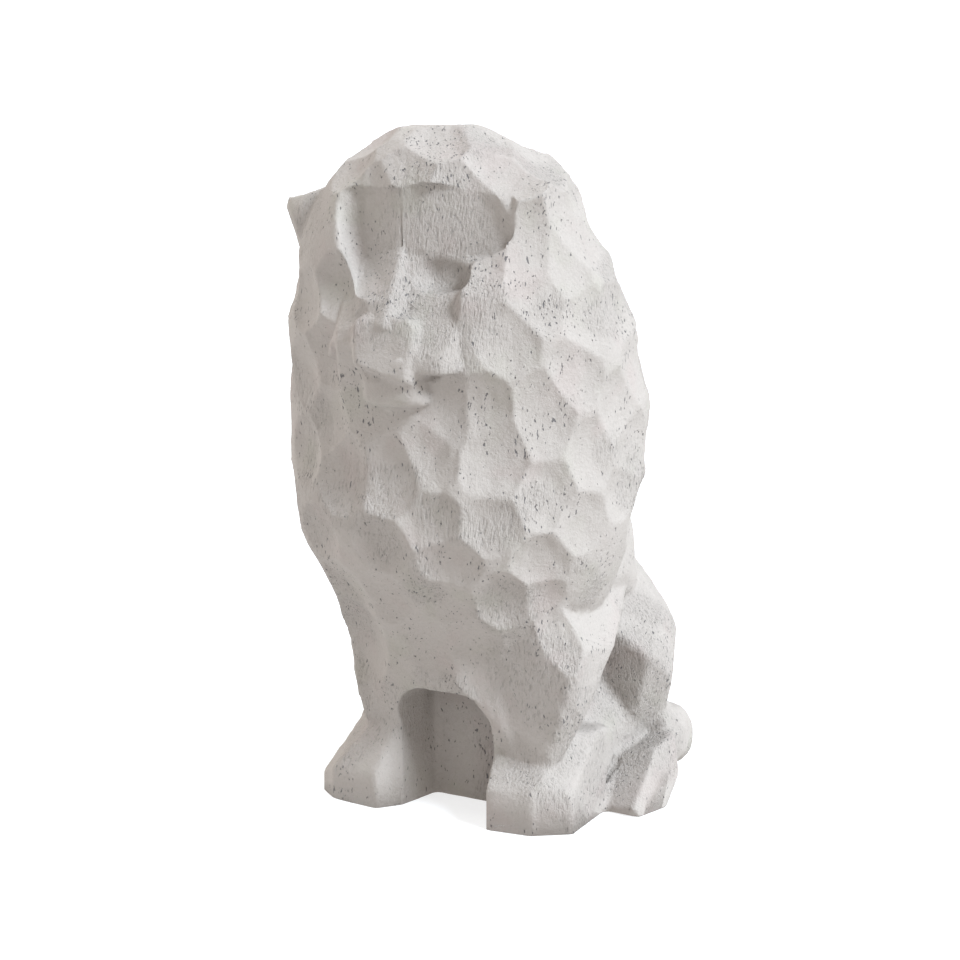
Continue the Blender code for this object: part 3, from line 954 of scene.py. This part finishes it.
def far_light(name, bearing, rise, spread, strength, colour):
    """A distant soft light, by its bearing from straight ahead and its rise."""
    light = bpy.data.lights.new(name, "SUN")
    light.energy = strength
    light.angle = spread
    light.color = colour
    made = bpy.data.objects.new(name, light)
    level = math.cos(rise)
    towards = Vector((math.sin(bearing) * level, -math.cos(bearing) * level, math.sin(rise)))
    made.location = towards
    made.rotation_euler = towards.to_track_quat("Z", "Y").to_euler()
    bpy.context.scene.collection.objects.link(made)
    return made


# The camera: its place in metres, its turn from straight ahead of the lion
# towards its left, how far it looks down, its lens and its film, both in
# thousandths of a metre
CAMERA_PLACE = (0.34979, -0.62497, 0.23493)
CAMERA_TURN = math.radians(30.0)
CAMERA_DROP = math.radians(9.648)
LENS = 75.0
FILM = 36.0


def studio_camera():
    """The camera, which looks along a line of its own turn and drop."""
    made = bpy.data.objects.new("camera", bpy.data.cameras.new("camera"))
    made.data.lens = LENS
    made.data.sensor_width = FILM
    made.data.clip_start = 0.01
    level = math.cos(CAMERA_DROP)
    back = Vector((math.sin(CAMERA_TURN) * level, -math.cos(CAMERA_TURN) * level, math.sin(CAMERA_DROP)))
    made.location = CAMERA_PLACE
    made.rotation_euler = back.to_track_quat("Z", "Y").to_euler()
    bpy.context.scene.collection.objects.link(made)
    return made


class LION_OT_carve(bpy.types.Operator):
    """Carve the lion and give it its limestone"""

    bl_idname = "lion.carve"
    bl_label = "Carve lion"

    def execute(self, context):
        lion = carve_figure(context.scene.lion_figure)
        lion.data.shade_smooth()
        lion.data.materials.append(limestone(context.scene.lion_stone))
        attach(lion, "root")
        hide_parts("lion")
        return {"FINISHED"}


# The fill light: its bearing, rise and spread
FILL_BEARING = math.radians(-95.0)
FILL_RISE = math.radians(30.0)
FILL_SPREAD = math.radians(50.0)


class LION_OT_studio(bpy.types.Operator):
    """Set up the floor, the lights and the camera"""

    bl_idname = "lion.studio"
    bl_label = "Set up studio"

    def execute(self, context):
        studio = context.scene.lion_studio
        floor = studio_floor()
        floor.data.materials.append(lit_table("studio_table", studio.floor, 0.9, studio.glow))
        far_light("key", studio.bearing, studio.rise, studio.spread, studio.key, studio.key_colour)
        far_light("fill", FILL_BEARING, FILL_RISE, FILL_SPREAD, studio.fill, WHITE)
        world = bpy.data.worlds.new("surround")
        world.use_nodes = True
        background = world.node_tree.nodes["Background"]
        background.inputs["Color"].default_value = (*WHITE, 1.0)
        background.inputs["Strength"].default_value = studio.sky
        context.scene.world = world
        context.scene.view_settings.view_transform = "Standard"
        context.scene.camera = studio_camera()
        return {"FINISHED"}


class LION_PT_panel(bpy.types.Panel):
    """Lists the lion's steps"""

    bl_idname = "LION_PT_panel"
    bl_label = "Limestone lion"
    bl_space_type = "VIEW_3D"
    bl_region_type = "UI"
    bl_category = "Lion"

    def draw(self, context):
        column = self.layout.column()
        for group in (context.scene.lion_figure, context.scene.lion_stone, context.scene.lion_studio):
            for name in group.__annotations__:
                column.prop(group, name)
        column.operator(LION_OT_carve.bl_idname)
        column.operator(LION_OT_studio.bl_idname)


CLASSES = (FigureSettings, StoneSettings, StudioSettings, LION_OT_carve, LION_OT_studio, LION_PT_panel)


def register():
    for item in CLASSES:
        bpy.utils.register_class(item)
    bpy.types.Scene.lion_figure = bpy.props.PointerProperty(type=FigureSettings)
    bpy.types.Scene.lion_stone = bpy.props.PointerProperty(type=StoneSettings)
    bpy.types.Scene.lion_studio = bpy.props.PointerProperty(type=StudioSettings)


def unregister():
    del bpy.types.Scene.lion_figure
    del bpy.types.Scene.lion_stone
    del bpy.types.Scene.lion_studio
    for item in reversed(CLASSES):
        bpy.utils.unregister_class(item)


def main():
    register()
    bpy.ops.lion.carve()
    bpy.ops.lion.studio()


if __name__ == "__main__":
    main()
